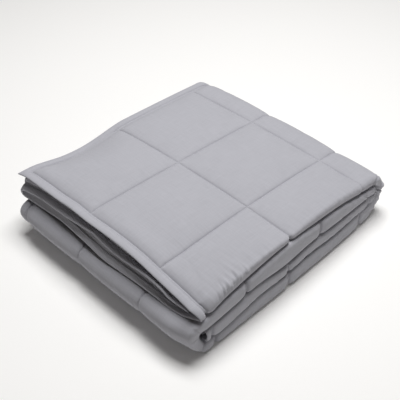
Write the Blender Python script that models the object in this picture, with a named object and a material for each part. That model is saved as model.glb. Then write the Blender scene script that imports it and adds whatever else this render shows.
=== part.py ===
"""A quilted weighted blanket, folded flat.

The blanket is stitched through in a grid of cells. It is folded in three across its width, like a
letter, and that strip is rolled flat into four levels. The strip starts at a hem on the top left,
runs right over the top, down round the right end, back along the floor, up round the left end, right
again as the second level, round a tight fold, and ends at its other hem inside the left fold.

The model is one solid: the outline of the strip's section, swept along that path.
Axes: +X along the blanket (east), +Y away from the near side (north), +Z up. Units are metres.
"""

import math

import bmesh
import bpy

# Driving dimensions of the blanket laid flat
FLAT_LENGTH = 1.83
FLAT_WIDTH = 1.22
CELLS_ALONG = 10
CELLS_ACROSS = 8
HEM = 0.015
CLOTH = 0.008            # thickness of one filled layer
HEM_CLOTH = 0.006        # thickness of the stitched-down edge
EDGE_CLOTH = 0.0035      # thickness at the very edge, where the hem is rounded
EDGE_ROUNDING = 0.0015   # how far in from the edge that rounding goes
HEM_CORNER = 0.008       # how much the blanket's corners are rounded off

CELL_LONG = (FLAT_LENGTH - 2 * HEM) / CELLS_ALONG
CELL_WIDE = (FLAT_WIDTH - 2 * HEM) / CELLS_ACROSS

# Quilting relief
GROOVE_DEPTH = 0.0032    # stitched groove below the cloth beside it
GROOVE_REACH = 0.013     # how far from the stitching the groove starts
LARGEST_GROOVE = 0.45    # most of the cloth's thickness that the groove takes
CROWN = 0.0045           # how much higher a cell's middle stands than its rim
FOLD_PINCH = 0.0050      # how far a stitched line draws a near fold in
FOLD_PINCH_REACH = 0.030

# Folding
LEVEL_GAP = 0.0010       # air between two levels
LARGEST_SHARE = 0.27     # most of a level's thickness that one of its three layers takes
NEAR_FOLD_REACH = 0.011  # how far the fold across the width runs out from its straight layers
FAR_FOLD_REACH = 0.008
TUCK_CLEARANCE = 0.002   # between the tucked hem and the fold round it
EAST_BASE = 0.385        # where the levels end and the east folds start
FOOTPRINT_DEPTH = 0.388  # near fold to the far stitched line

# Heights of the faces between levels, where a cell's middle lies. Each row gives the height at
# (near, middle, far) for the west end, the middle and the east end of the stack.
HEIGHTS = {
    "top": ((0.094, 0.120, 0.113), (0.104, 0.113, 0.108), (0.090, 0.100, 0.100)),
    "under_first": ((0.070, 0.067, 0.065), (0.085, 0.086, 0.083), (0.074, 0.077, 0.077)),
    "under_second": ((0.052, 0.042, 0.042), (0.057, 0.058, 0.056), (0.053, 0.054, 0.054)),
    "under_third": ((0.023, 0.022, 0.022), (0.030, 0.031, 0.030), (0.030, 0.030, 0.030)),
    "floor": ((0.0, 0.0, 0.0), (0.0, 0.0, 0.0), (0.0, 0.0, 0.0)),
}

# The levels in the order that the strip passes them.
# below and above: rows of HEIGHTS. outward: +1 if the strip's outer side faces up, -1 if down.
# start, end: x where the level starts and ends. near, far, tuck: y of the near fold, of the free
# hem and of the far fold. crown: share of the quilting's crown that is free to rise.
LEVELS = (
    dict(below="under_first", above="top", outward=1, start=-HEM, end=EAST_BASE,
         near=-0.3865, far=0.013, tuck=0.004, crown=1.0),
    dict(below="floor", above="under_third", outward=-1, start=EAST_BASE, end=0.0,
         near=-0.395, far=-0.004, tuck=-0.012, crown=0.0),
    dict(below="under_second", above="under_first", outward=1, start=0.0, end=EAST_BASE,
         near=-0.391, far=-0.003, tuck=-0.010, crown=0.0),
    dict(below="under_third", above="under_second", outward=-1, start=EAST_BASE, end=0.002,
         near=-0.394, far=-0.006, tuck=-0.014, crown=0.0),
)

# The folds between those levels: x where the fold starts, how far its outer and inner sides run out
# from there, how late in the turn it is widest (1 is half-way), and the crown's share on it.
FOLDS = (
    dict(base=EAST_BASE, outer=0.0435, inner=0.0238, late=1.12, crown=1.0),
    dict(base=0.0, outer=-0.037, inner=-0.015, late=1.45, crown=0.3),
    dict(base=EAST_BASE, outer=0.0215, inner=0.004, late=1.12, crown=0.0),
)
FOLD_SQUARENESS = 0.92   # 1 is an ellipse, less is squarer
NEAR_FOLD_SQUARENESS = 0.80

# Places where a face sags or lifts by itself: its middle, its reach each way and the change there
DIPS = (
    dict(face="top", x=0.105, y=0.012, reach_x=0.100, reach_y=0.085, change=-0.013),
)

# The top level's mouth at its west hem: how far its lower layers stand out, and how far in that goes
MOUTH_OVERHANG = 0.006
MOUTH_DEPTH = 0.110

# Where the mesh has its points
CELL_STEPS = (0.07, 0.30, 0.70, 0.93, 1.0)      # within a cell, as shares of it
HEM_STEPS = (1.0, 0.8, 0.4, 0.0)                # in the hem, from the edge to the stitching
LEAST_STEP = 0.02                               # closest that two points come, as a share of a cell
LARGEST_TURN = math.radians(28)
TRACE_STEPS = 60
NEAR_FOLD_STEPS = 6
FAR_FOLD_STEPS = 3
PLAIN_STEPS = 5

CLOTH_COLOUR = (0.43, 0.43, 0.46, 1.0)
CLOTH_ROUGHNESS = 0.92


def through_three(first, middle, last, share):
    """The parabola through three values at 0, 1/2 and 1."""
    return (first * (1 - share) * (1 - 2 * share)
            + 4 * middle * share * (1 - share)
            + last * share * (2 * share - 1))


def height(face, x, y):
    """Height of a face between levels at a place on the plan."""
    along = x / EAST_BASE
    across = 1 + y / FOOTPRINT_DEPTH
    columns = [through_three(*column, across) for column in HEIGHTS[face]]
    level = through_three(*columns, along)
    for dip in DIPS:
        away = math.hypot((x - dip["x"]) / dip["reach_x"], (y - dip["y"]) / dip["reach_y"])
        if dip["face"] == face and away < 1:
            level += dip["change"] * (1 - away * away) ** 2
    return level


def level_sides(level, x, y):
    """The (x, z) of a level's inner and outer side."""
    air = LEVEL_GAP / 2
    low = height(level["below"], x, y)
    if level["below"] != "floor":
        low += air
    high = height(level["above"], x, y)
    if level["above"] != "top":
        high -= air
    if level["above"] == "top" and x < MOUTH_DEPTH - HEM:
        overhang = MOUTH_OVERHANG * ((MOUTH_DEPTH - HEM - x) / MOUTH_DEPTH) ** 2
        return (x - overhang, low), (x, high)
    if level["outward"] > 0:
        return (x, low), (x, high)
    return (x, high), (x, low)


def fold_side(fold, side_name, from_height, to_height, turn):
    """A point on the half loop that joins two heights; turn runs from 0 to 1."""
    angle = math.pi * turn
    middle = (from_height + to_height) / 2
    half = (from_height - to_height) / 2
    side = math.copysign(abs(math.cos(angle)) ** FOLD_SQUARENESS, math.cos(angle))
    width = math.sin(math.pi * turn ** fold["late"]) ** FOLD_SQUARENESS if 0 < turn < 1 else 0.0
    return fold["base"] + fold[side_name] * width, middle + half * side


def strip_sides(place, y):
    """The strip's inner and outer side at a place on the path.

    Whole numbers in place count the path's stretches: even ones are levels, odd ones are folds.
    """
    stretch = min(int(place), 2 * len(FOLDS))
    share = place - stretch
    if stretch % 2 == 0:
        level = LEVELS[stretch // 2]
        return level_sides(level, level["start"] + share * (level["end"] - level["start"]), y)
    fold = FOLDS[stretch // 2]
    before, after = LEVELS[stretch // 2], LEVELS[stretch // 2 + 1]
    inner_from, outer_from = level_sides(before, fold["base"], y)
    inner_to, outer_to = level_sides(after, fold["base"], y)
    inner = fold_side(fold, "inner", inner_from[1], inner_to[1], share)
    outer = fold_side(fold, "outer", outer_from[1], outer_to[1], share)
    return inner, outer


def along_path(place, key):
    """A level's value at a place on the path, blended smoothly round each fold."""
    stretch = min(int(place), 2 * len(FOLDS))
    level = LEVELS[stretch // 2]
    if stretch % 2 == 0:
        return level[key]
    share = place - stretch
    if key == "crown":
        fold_value = FOLDS[stretch // 2]["crown"]
        ends = level[key] * (1 - share) + LEVELS[stretch // 2 + 1][key] * share
        return ends + (fold_value - ends) * math.sin(math.pi * share)
    blend = share * share * (3 - 2 * share)
    return level[key] * (1 - blend) + LEVELS[stretch // 2 + 1][key] * blend


def trace_path():
    """Places along the path with the length of cloth from the first stitched line, in cells."""
    middle = -FOOTPRINT_DEPTH / 2
    trace = []
    length = -HEM
    last = None
    for step in range(TRACE_STEPS * (2 * len(FOLDS) + 1) + 1):
        place = step / TRACE_STEPS
        point = strip_sides(place, middle)[1]
        if last is not None:
            length += math.dist(last, point)
        trace.append((place, length / CELL_LONG, point))
        last = point
    return trace


def place_at(trace, cells):
    """The place on the path at a length of cloth."""
    for (place, here, _), (next_place, there, _) in zip(trace, trace[1:]):
        if here <= cells <= there:
            share = (cells - here) / (there - here) if there > here else 0.0
            return place + share * (next_place - place)
    return trace[-1][0] if cells > 0 else trace[0][0]


def turn_between(trace, low, high):
    """How much the path turns between two lengths of cloth."""
    points = [point for _, cells, point in trace if low <= cells <= high]
    headings = [math.atan2(b[1] - a[1], b[0] - a[0]) for a, b in zip(points, points[1:])
                if math.dist(a, b) > 1e-6]
    turns = [abs(math.remainder(b - a, math.tau)) for a, b in zip(headings, headings[1:])]
    return sum(turns)


def station_list(trace):
    """Lengths of cloth at which the section is placed: closer at stitching and round folds."""
    hem_cells = HEM / CELL_LONG
    last_stitching = trace[-1][1] - hem_cells
    wanted = [-step * hem_cells for step in HEM_STEPS]
    for cell in range(CELLS_ALONG + 1):
        wanted += [cell + step for step in CELL_STEPS if cell + step < last_stitching - LEAST_STEP]
    wanted += [last_stitching + step * hem_cells for step in reversed(HEM_STEPS)]
    fold_ends = [cells for place, cells, _ in trace if place % 1 == 0 and 0 < place < trace[-1][0]]
    wanted = sorted(fold_ends + [cells for cells in wanted
                                 if min(abs(cells - end) for end in fold_ends) > LEAST_STEP])
    stations = [wanted[0]]
    for target in wanted[1:]:
        start = stations[-1]
        turn = turn_between(trace, start, target)
        pieces = max(1, math.ceil(turn / LARGEST_TURN))
        stations += [start + (target - start) * piece / pieces for piece in range(1, pieces + 1)]
    return stations


def seam_depth(distance, reach):
    """1 on a stitched line, falling to 0 at its reach."""
    return max(0.0, 1 - distance / reach) ** 2


def quilt_relief(cells_along, cells_across, crown, last_cell, cloth):
    """How far the outer side stands out from the smooth level: up in a cell, down at stitching."""
    depth = 0.0
    loft = 1.0
    for cells, size, last in ((cells_along, CELL_LONG, last_cell),
                              (cells_across, CELL_WIDE, CELLS_ACROSS)):
        nearest = min(max(round(cells), 0), last)
        depth = max(depth, seam_depth(abs(cells - nearest) * size, GROOVE_REACH))
        if 0 <= cells <= last:
            loft *= 1 - abs(2 * (cells % 1.0) - 1) ** 3
        else:
            loft = 0.0
    groove = min(GROOVE_DEPTH * (1 + crown) / 2, LARGEST_GROOVE * cloth)
    return CROWN * crown * loft - groove * depth


def section(place, cells, last_cell):
    """Both sides of the cloth in the strip's section, from the free hem to the tucked hem.

    Each point is (y, share of the level's thickness, relief).
    """
    near = along_path(place, "near")
    far = along_path(place, "far")
    tuck = along_path(place, "tuck")
    stitched = far - HEM
    distance = abs(cells - min(max(round(cells), 0), last_cell)) * CELL_LONG
    pinch = FOLD_PINCH * seam_depth(distance, FOLD_PINCH_REACH)
    near_edge = near + pinch
    straight = near_edge + NEAR_FOLD_REACH
    end_gap = min(cells * CELL_LONG + HEM, (last_cell - cells) * CELL_LONG + HEM)

    def share_of(y, edge_distance):
        inner, outer = strip_sides(place, y)
        thickness = math.dist(inner, outer)
        cloth = min(CLOTH, LARGEST_SHARE * thickness)
        nearest_edge = min(edge_distance, end_gap)
        if nearest_edge < HEM:
            cloth = min(cloth, HEM_CLOTH)
        if nearest_edge < EDGE_ROUNDING:
            cloth = min(cloth, EDGE_CLOTH)
        return cloth / thickness

    face, back = [], []

    # outer layer, from the free hem to the near fold
    across = [-step * HEM / CELL_WIDE for step in HEM_STEPS]
    reach = (stitched - straight) / CELL_WIDE
    cell = 0
    while cell < reach:
        across += [cell + step for step in CELL_STEPS if cell + step < reach - LEAST_STEP]
        cell += 1
    across.append(reach)
    corner = HEM_CORNER * max(0.0, 1 - end_gap / HEM_CORNER) ** 2
    for cells_across in across:
        y = stitched - cells_across * CELL_WIDE
        if cells_across < 0:
            y = stitched + (y - stitched) * (1 - corner / HEM)
        share = share_of(y, far - y)
        cloth = share * math.dist(*strip_sides(place, y))
        relief = quilt_relief(cells, cells_across, along_path(place, "crown"), last_cell, cloth)
        face.append((y, 1.0, relief))
        back.append((y, 1 - share, 0.0))

    # near fold, onto which the outer layer's relief runs out
    share = share_of(straight, HEM)
    inner_reach = NEAR_FOLD_REACH - CLOTH
    for step in range(1, NEAR_FOLD_STEPS):
        angle = math.pi * step / NEAR_FOLD_STEPS
        out = math.sin(angle) ** NEAR_FOLD_SQUARENESS
        side = math.copysign(abs(math.cos(angle)) ** NEAR_FOLD_SQUARENESS, math.cos(angle))
        face.append((straight - NEAR_FOLD_REACH * out, 0.5 + 0.5 * side, relief * max(0.0, side)))
        back.append((straight - inner_reach * out, 0.5 + (0.5 - share) * side, 0.0))

    # inner layer, from the near fold to the far fold
    turned = tuck - FAR_FOLD_REACH
    for step in range(PLAIN_STEPS + 1):
        y = straight + (turned - straight) * step / PLAIN_STEPS
        face.append((y, 0.0, 0.0))
        back.append((y, share_of(y, HEM), 0.0))

    # far fold
    share = share_of(turned, HEM)
    top, bottom = 0.5 + share / 2, 0.5 - share / 2
    for step in range(1, FAR_FOLD_STEPS):
        angle = math.pi * step / FAR_FOLD_STEPS
        middle, half = (share + bottom) / 2, (bottom - share) / 2
        out = math.sin(angle)
        side = math.cos(angle)
        face.append((turned + FAR_FOLD_REACH * out, top * (1 - side) / 2, 0.0))
        back.append((turned + TUCK_CLEARANCE * out, middle - half * side, 0.0))

    # tucked layer, from the far fold to the tucked hem
    tip = straight + TUCK_CLEARANCE
    for step in range(PLAIN_STEPS + 1):
        y = turned + (tip - turned) * step / PLAIN_STEPS
        share = share_of(y, y - tip)
        face.append((y, 0.5 + share / 2, 0.0))
        back.append((y, 0.5 - share / 2, 0.0))
    return face, back


def place_point(place, y, share, relief):
    """A point of the solid from its place on the path and in the section."""
    inner, outer = strip_sides(place, y)
    thickness = math.dist(inner, outer)
    smooth = thickness - CROWN * along_path(place, "crown")
    rise = (share * smooth + relief) / thickness
    return (inner[0] + rise * (outer[0] - inner[0]), y, inner[1] + rise * (outer[1] - inner[1]))


def blanket_mesh():
    """Sweep the section along the path and close both ends."""
    trace = trace_path()
    last_cell = CELLS_ALONG
    stations = station_list(trace)
    stretch_to_end = trace[-1][1] - HEM / CELL_LONG
    shape = bmesh.new()
    rings = []
    for station in stations:
        place = place_at(trace, station)
        cells = station * last_cell / stretch_to_end if station > 0 else station
        face, back = section(place, cells, last_cell)
        outline = face + back[::-1]
        rings.append([shape.verts.new(place_point(place, *point)) for point in outline])
    count = len(rings[0])
    for ring, following in zip(rings, rings[1:]):
        for index in range(count):
            after = (index + 1) % count
            shape.faces.new((ring[index], ring[after], following[after], following[index]))
    half = count // 2
    for ring in (rings[0], rings[-1]):
        for index in range(half - 1):
            shape.faces.new((ring[index], ring[index + 1], ring[count - 2 - index],
                             ring[count - 1 - index]))
    bmesh.ops.recalc_face_normals(shape, faces=shape.faces)
    bmesh.ops.triangulate(shape, faces=shape.faces)
    low = [min(vert.co[axis] for vert in shape.verts) for axis in range(3)]
    high = [max(vert.co[axis] for vert in shape.verts) for axis in range(3)]
    middle = [(a + b) / 2 for a, b in zip(low, high)]
    for vert in shape.verts:
        vert.co.x -= middle[0]
        vert.co.y -= middle[1]
        vert.co.z -= low[2]
    mesh = bpy.data.meshes.new("blanket")
    shape.to_mesh(mesh)
    shape.free()
    print("blanket centre", [round(value, 5) for value in middle], "low", [round(v, 5) for v in low],
          "high", [round(v, 5) for v in high], "triangles", len(mesh.polygons),
          "cells in path", round(trace[-1][1], 3))
    return mesh


def cloth_material():
    """Plain grey cotton."""
    material = bpy.data.materials.new("grey_cotton")
    material.use_nodes = True
    shader = material.node_tree.nodes["Principled BSDF"]
    shader.inputs["Base Color"].default_value = CLOTH_COLOUR
    shader.inputs["Roughness"].default_value = CLOTH_ROUGHNESS
    shader.inputs["Metallic"].default_value = 0.0
    return material


def main():
    for old in list(bpy.data.objects):
        bpy.data.objects.remove(old, do_unlink=True)
    collection = bpy.data.collections.new("weighted_blanket")
    bpy.context.scene.collection.children.link(collection)
    mesh = blanket_mesh()
    mesh.shade_smooth()
    mesh.materials.append(cloth_material())
    collection.objects.link(bpy.data.objects.new("blanket", mesh))


main()
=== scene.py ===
# %% [markdown]
# # A folded weighted blanket
#
# The real thing is a filled cotton blanket, quilted through in a grid of cells, with its edge turned
# in and stitched down. It is folded in three across its width, like a letter, and that strip is
# rolled flat into four levels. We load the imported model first: it is the frame that everything here
# has to fit.

# %% Load the frame
import math

import bmesh
import bpy
import numpy as np
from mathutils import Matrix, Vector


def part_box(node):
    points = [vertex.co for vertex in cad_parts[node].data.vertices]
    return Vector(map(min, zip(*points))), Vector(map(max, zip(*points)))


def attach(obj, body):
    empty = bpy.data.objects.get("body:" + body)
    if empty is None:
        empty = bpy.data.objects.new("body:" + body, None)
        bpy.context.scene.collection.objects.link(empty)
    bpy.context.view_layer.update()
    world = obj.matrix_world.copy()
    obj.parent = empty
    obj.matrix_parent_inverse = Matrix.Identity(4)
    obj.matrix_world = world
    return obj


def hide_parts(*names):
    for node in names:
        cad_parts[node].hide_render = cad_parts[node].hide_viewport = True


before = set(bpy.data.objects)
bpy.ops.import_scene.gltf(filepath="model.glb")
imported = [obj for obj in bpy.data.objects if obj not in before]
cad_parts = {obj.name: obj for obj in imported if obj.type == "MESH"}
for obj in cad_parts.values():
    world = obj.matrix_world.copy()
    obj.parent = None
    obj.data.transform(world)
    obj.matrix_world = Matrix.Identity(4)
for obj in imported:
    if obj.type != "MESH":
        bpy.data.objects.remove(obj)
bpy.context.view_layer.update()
solid_low, solid_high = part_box("blanket")
print("solid", [round(value, 4) for value in (*solid_low, *solid_high)])

# %% [markdown]
# ## Sizes
#
# A twin blanket is 122 by 183 cm. It has 8 cells across and 10 along, inside a 15 mm hem. All lengths
# are metres. While folding, x is 0 at the hem's stitching on the top left and y is 0 at the far
# stitched line. East is towards the end where the top level turns over, and north is the far side.

# %% Sizes of the flat blanket
FLAT_WIDTH, FLAT_LENGTH = 1.22, 1.83
CELLS_ACROSS, CELLS_ALONG = 8, 10
HEM = 0.015
CELL_WIDE = (FLAT_WIDTH - 2 * HEM) / CELLS_ACROSS
CELL_LONG = (FLAT_LENGTH - 2 * HEM) / CELLS_ALONG
LAYER = 0.008             # one filled layer
LARGEST_SHARE = 0.29      # most of a level that one of its three layers takes
CROWN = 0.0045            # how far a cell's middle puffs up
LEVEL_GAP = 0.0008
print("cells of", round(CELL_LONG, 4), "by", round(CELL_WIDE, 4))

# %% [markdown]
# ## The shape of the folded stack
#
# The stack isn't a box: it sags at its corners and swells in the middle. A short table gives the
# height of each face between two levels at nine places, and a parabola both ways joins them. Along
# the near folds the levels press into each other, so a second table gives their faces there.

# %% A helper for tables
def table(columns, *rows):
    """Rows of values as dictionaries, with the columns' names as keys."""
    return [dict(zip(columns.split(), row, strict=True)) for row in rows]


# %% Heights and folds
EAST_BASE = 0.385
DEPTH = 0.388
HEIGHTS = {  # (near, middle, far) at the west end, the middle and the east end
    "top": ((0.094, 0.120, 0.113), (0.104, 0.113, 0.108), (0.090, 0.100, 0.100)),
    "under_first": ((0.070, 0.067, 0.065), (0.085, 0.086, 0.083), (0.074, 0.077, 0.077)),
    "under_second": ((0.052, 0.042, 0.042), (0.057, 0.058, 0.056), (0.053, 0.054, 0.054)),
    "under_third": ((0.023, 0.022, 0.022), (0.030, 0.031, 0.030), (0.030, 0.030, 0.030)),
    "floor": ((0.0, 0.0, 0.0), (0.0, 0.0, 0.0), (0.0, 0.0, 0.0)),
}
NEAR_LINES = {  # x and height of the face between two levels, along the near folds
    "under_first": (
        (-0.020, 0.0690), (0.000, 0.0700), (0.030, 0.0756), (0.077, 0.0800), (0.134, 0.0860),
        (0.184, 0.0885), (0.250, 0.0835), (0.303, 0.0800), (0.376, 0.0690), (0.390, 0.0690)),
    "under_second": (
        (-0.020, 0.0470), (0.006, 0.0477), (0.062, 0.0522), (0.100, 0.0567), (0.168, 0.0492),
        (0.228, 0.0552), (0.290, 0.0522), (0.369, 0.0527), (0.390, 0.0527)),
    "under_third": (
        (-0.020, 0.0213), (0.031, 0.0213), (0.074, 0.0263), (0.107, 0.0307), (0.171, 0.0292),
        (0.217, 0.0342), (0.281, 0.0307), (0.348, 0.0337), (0.390, 0.0340)),
}
NEAR_LINE_REACH = 0.075   # how far in from the near folds that goes
TOP_SAG = dict(x=0.105, y=0.012, reach_x=0.100, reach_y=0.085, change=-0.013)   # a dip at the far side
LEVELS = table(  # in the order that the strip passes them; outward is +1 where its outer side faces up
    "below           above           outward      start        end     far    tuck  crown  narrow",
    ("under_first",  "top",                1,      -HEM, EAST_BASE,  0.013,  0.009,   1.0,    1.0),
    ("floor",        "under_third",       -1, EAST_BASE,       0.0, -0.004, -0.012,   0.0,   0.91),
    ("under_second", "under_first",        1,       0.0, EAST_BASE, -0.003, -0.010,   0.0,   0.91),
    ("under_third",  "under_second",      -1, EAST_BASE,     0.000, -0.006, -0.014,   0.0,   0.94),
)
FOLDS = table(  # outer east, west and inner east fold; late is how late in the turn it is widest
    "     base   outer   inner  near_outer  near_inner  late  crown",
    (EAST_BASE, 0.0435, 0.0238,     0.0415,     0.0250, 1.12,  0.45),
    (      0.0, -0.037, -0.015,     -0.029,    -0.0045, 1.45,   0.3),
    (EAST_BASE, 0.0215,  0.004,     0.0215,      0.004, 1.12,   0.0),
)
FOLD_TAPER = 0.040        # how far from the near end a fold begins to narrow to its near values
NEAR_EDGE = table(  # by place on the path: the near folds' y, and how late, far and square they bulge
    "  at        y  late   reach  square",
    (0.00, -0.3885, 1.45, 0.0170,   1.00),
    (0.06, -0.3885, 1.35, 0.0160,   0.95),
    (0.16, -0.3870, 1.10, 0.0110,   0.80),
    (0.50, -0.3865, 1.00, 0.0105,   0.76),
    (0.95, -0.3880, 1.10, 0.0120,   0.85),
    (1.20, -0.3900, 1.00, 0.0120,   0.85),
    (1.80, -0.3880, 1.00, 0.0105,   0.76),
    (2.10, -0.3930, 1.00, 0.0085,   0.72),
    (2.60, -0.3940, 1.00, 0.0085,   0.72),
    (2.94, -0.3910, 1.00, 0.0085,   0.74),
    (3.30, -0.3875, 1.00, 0.0090,   0.80),
    (3.70, -0.3880, 1.00, 0.0090,   0.80),
    (4.10, -0.3910, 1.00, 0.0080,   0.72),
    (5.00, -0.3910, 1.00, 0.0080,   0.72),
    (5.50, -0.3900, 1.00, 0.0085,   0.80),
    (6.00, -0.3920, 1.00, 0.0080,   0.72),
    (7.00, -0.3925, 1.00, 0.0080,   0.72),
)
FOLD_SQUARENESS = 0.92    # 1 is a round fold, less is squarer
LAST_PLACE = 2 * len(FOLDS) + 1     # places 0 to 1 are the first level, 1 to 2 the first fold, and so on
print(len(LEVELS), "levels and", len(FOLDS), "folds")


# %% Helpers for the folded path
def smooth_table(rows, at):
    """A smooth curve through a table of (place, value)."""
    places, values = np.array(rows, dtype=float).T
    slopes = np.gradient(values, places)
    at = np.clip(at, places[0], places[-1])
    index = np.clip(np.searchsorted(places, at) - 1, 0, len(places) - 2)
    width = places[index + 1] - places[index]
    share = (at - places[index]) / width
    bend, rest = share * share * (3 - 2 * share), share * (1 - share)
    return (values[index] * (1 - bend) + values[index + 1] * bend
            + width * rest * ((1 - share) * slopes[index] - share * slopes[index + 1]))


def ease(share):
    """0 to 1 with soft ends."""
    share = np.clip(share, 0, 1)
    return share * share * (3 - 2 * share)


def through_three(first, middle, last, share):
    """The parabola through three values at 0, 1/2 and 1."""
    return (first * (1 - share) * (1 - 2 * share) + 4 * middle * share * (1 - share)
            + last * share * (2 * share - 1))


def height(face, x, y):
    """Height of a face between levels, for arrays of places."""
    along, across = x / EAST_BASE, 1 + y / DEPTH
    level = through_three(*[through_three(*row, across) for row in HEIGHTS[face]], along)
    if face == "top":
        away = np.hypot((x - TOP_SAG["x"]) / TOP_SAG["reach_x"], (y - TOP_SAG["y"]) / TOP_SAG["reach_y"])
        level = level + TOP_SAG["change"] * np.clip(1 - away * away, 0, 1) ** 2
    if face in NEAR_LINES:
        at_near = through_three(*[row[0] for row in HEIGHTS[face]], along)
        closeness = 1 - ease((y + DEPTH) / NEAR_LINE_REACH)
        level = level + closeness * (smooth_table(NEAR_LINES[face], x) - at_near)
    return level


def level_sides(level, x, y):
    """(x, z) of a level's inner and outer side."""
    air = LEVEL_GAP / 2
    low = height(level["below"], x, y) + (air if level["below"] != "floor" else 0)
    high = height(level["above"], x, y) - (air if level["above"] != "top" else 0)
    lower, upper = (x, low), (x, high)
    return (lower, upper) if level["outward"] > 0 else (upper, lower)


def fold_side(fold, side, start, end, turn, y):
    """(x, z) on the half loop that joins two heights."""
    angle = np.pi * turn
    cosine = np.sign(np.cos(angle)) * np.abs(np.cos(angle)) ** FOLD_SQUARENESS
    width = np.clip(np.sin(np.pi * turn ** fold["late"]), 0, 1) ** FOLD_SQUARENESS
    at_near = 1 - ease((y + DEPTH) / FOLD_TAPER)
    bulge = fold[side] + (fold["near_" + side] - fold[side]) * at_near
    return fold["base"] + bulge * width, (start + end) / 2 + (start - end) / 2 * cosine


def strip_sides(place, y):
    """Inner and outer (x, z) of the strip, for arrays of places on the path."""
    place = np.broadcast_to(place, y.shape)
    inner, outer = np.zeros((2, *y.shape)), np.zeros((2, *y.shape))
    stretch = np.minimum(place.astype(int), LAST_PLACE - 1)
    for number in range(LAST_PLACE):
        rows = stretch == number
        if not rows.any():
            continue
        share, here = (place - number)[rows], y[rows]
        if number % 2 == 0:
            level = LEVELS[number // 2]
            x = level["start"] + share * (level["end"] - level["start"])
            sides = level_sides(level, x, here)
        else:
            fold = FOLDS[number // 2]
            base = np.full_like(here, fold["base"])
            before = level_sides(LEVELS[number // 2], base, here)
            after = level_sides(LEVELS[number // 2 + 1], base, here)
            sides = [fold_side(fold, side, before[index][1], after[index][1], share, here)
                     for index, side in enumerate(("inner", "outer"))]
        for target, side in zip((inner, outer), sides):
            target[0][rows], target[1][rows] = side
    return inner, outer


def along_path(place, key):
    """A level's value, blended smoothly round each fold."""
    stretch = np.minimum(place.astype(int), LAST_PLACE - 1)
    share = place - stretch
    levels = np.array([level[key] for level in LEVELS])
    before = levels[stretch // 2]
    after = levels[np.minimum(stretch // 2 + 1, len(LEVELS) - 1)]
    if key == "crown":
        on_fold = np.array([fold["crown"] for fold in FOLDS] + [0.0])[stretch // 2]
        ends = before * (1 - share) + after * share
        value = ends + (on_fold - ends) * np.sin(np.pi * share)
    else:
        value = before + (after - before) * share * share * (3 - 2 * share)
    return np.where(stretch % 2 == 0, before, value)


# %% [markdown]
# ## Where the stitched lines fall
#
# The photographed fold isn't perfectly even, so the table gives the place of each stitched line along
# the roll. Cloth between two lines is spread evenly over the path between them.

# %% Stitched lines along the path
SEAM_LINES = table(  # number of the stitched line, and the level and x where it lies
    "line level x",
    ( 0, 0,   0.0), ( 1, 0, 0.180), ( 2, 0, 0.360), ( 3, 1, 0.361), ( 4, 1, 0.177),
    ( 5, 1, 0.020), ( 6, 2, 0.082), ( 7, 2, 0.250), ( 9, 3, 0.175), (10, 3, 0.011),
)
TRACE_STEPS = 120
trace_place = np.linspace(0, LAST_PLACE, TRACE_STEPS * LAST_PLACE + 1)
trace_sides = strip_sides(trace_place, np.full_like(trace_place, -DEPTH / 2))
trace_length = np.concatenate(([0], np.cumsum(np.hypot(*np.diff(trace_sides[1], axis=1)))))


def cloth_of(path):
    """Cloth length at a place on the path."""
    return np.interp(np.interp(path, trace_place, trace_length), path_marks, cloth_marks)


def place_of(row):
    """Place on the path of an x on a level."""
    level = LEVELS[row["level"]]
    return 2 * row["level"] + (row["x"] - level["start"]) / (level["end"] - level["start"])


seam_lengths = np.interp([place_of(row) for row in SEAM_LINES], trace_place, trace_length)
cloth_marks = np.array([-HEM] + [row["line"] * CELL_LONG for row in SEAM_LINES]
                       + [CELLS_ALONG * CELL_LONG + HEM])
path_marks = np.concatenate(([0], seam_lengths, trace_length[-1:]))
print("path", round(trace_length[-1], 3), "m for", FLAT_LENGTH, "m of cloth; pieces",
      np.round(np.diff(path_marks) / np.diff(cloth_marks), 2))

# %% [markdown]
# ## Where the mesh has its points
#
# Points are close at stitching, where the cloth dips sharply, and at the rolled edge of the hem.
# Between them they are 3 mm apart, and half of that or less where the folds are creased sharply.

# %% Stations along the cloth and columns across it
SPACING = 0.0030          # widest, between two points
CREASED = table(  # stretches of the path that are creased sharply, and the spacing there
    "start end spacing",
    (0.10, 0.27, 0.0014), (1.05, 1.40, 0.0017), (1.40, 1.66, 0.0010),
    (1.66, 1.80, 0.0017), (3.10, 3.98, 0.0017), (5.15, 5.85, 0.0015),
)
SEAM_OFFSETS = (0.0009, 0.0021, 0.0041)     # points beside a stitched line
RIM_OFFSETS = (0.0, 0.0002, 0.0007, 0.0014, 0.0026, 0.0045)     # points inwards from a rim


def marks_between(start, end, seams, rims, finer=()):
    """Even marks from start to end, closer at the seams, at a rim and within the finer stretches."""
    marks = {round(start, 7), round(end, 7)}
    for seam in seams:
        for offset in (0.0, *SEAM_OFFSETS):
            marks |= {round(seam - offset, 7), round(seam + offset, 7)}
    for rim, inward in rims:
        marks |= {round(rim + inward * offset, 7) for offset in RIM_OFFSETS}
    for first, last, spacing in finer:
        marks |= {round(float(mark), 7) for mark in np.arange(first, last, spacing)}
    marks = sorted(mark for mark in marks if start - 1e-9 <= mark <= end + 1e-9)
    filled = [marks[0]]
    for mark in marks[1:]:
        pieces = max(1, math.ceil((mark - filled[-1]) / SPACING - 0.01))
        first = filled[-1]
        filled += [first + (mark - first) * piece / pieces for piece in range(1, pieces + 1)]
    return np.array(filled)


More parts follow.
